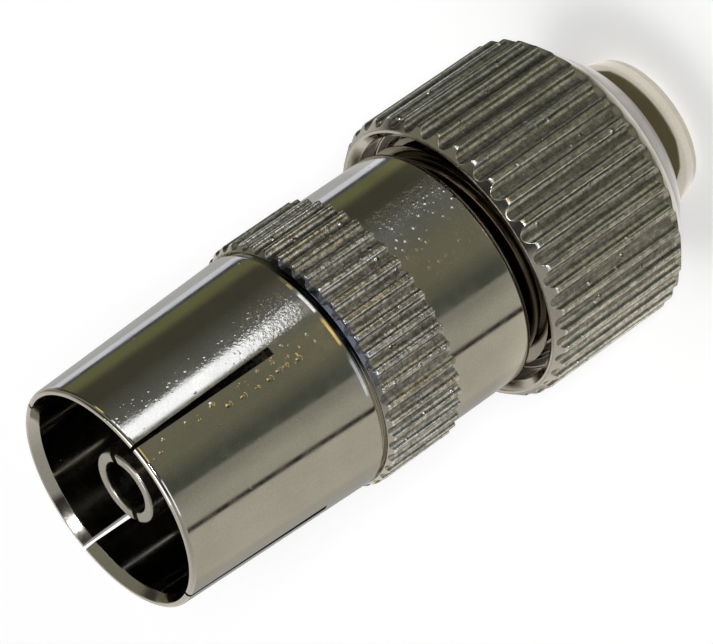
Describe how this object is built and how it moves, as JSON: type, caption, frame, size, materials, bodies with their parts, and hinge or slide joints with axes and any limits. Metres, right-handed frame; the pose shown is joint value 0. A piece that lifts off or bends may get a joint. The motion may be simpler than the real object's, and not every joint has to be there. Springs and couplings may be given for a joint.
{
  "type": "coaxial line socket",
  "caption": "Nickel-plated metal line socket for a 9.5 mm aerial lead: slotted spring sleeve with a split centre contact, knurled collar, and a knurled back nut that clamps the cable.",
  "frame": {"origin": "centre of the cable end, on the face that the socket stands on", "axes": "+Z along the axis from the cable end to the open mouth; the four sleeve slots lie on +X, +Y, -X and -Y"},
  "size_m": [0.0136, 0.0136, 0.0304],
  "materials": {
    "nickel": "bright nickel plate on turned brass",
    "nut_nickel": "bright nickel plate on knurled brass",
    "contact_nickel": "nickel plate on split brass tube",
    "clamp_nickel": "satin nickel plate on slotted brass",
    "insulation": "smooth black moulded plastic"
  },
  "bodies": {
    "shell_body": {"shell": "nickel", "insulator": "insulation", "centre_contact": "contact_nickel"},
    "clamp_body": {"cable_clamp": "clamp_nickel"},
    "nut_body": {"back_nut": "nut_nickel"}
  },
  "joints": [
    {"name": "clamp_slide", "type": "slide", "parent": "shell_body", "child": "clamp_body", "axis": [0, 0, -1], "range_m": [0, 0.00415]},
    {"name": "nut_turn", "type": "hinge", "parent": "clamp_body", "child": "nut_body", "pos_m": [0, 0, 0.0076], "axis": [0, 0, -1], "range_deg": [0, 1980]}
  ],
  "couplings": [
    {"joint": "clamp_slide", "follows": "nut_turn", "m_per_rad": 0.00011937}
  ]
}
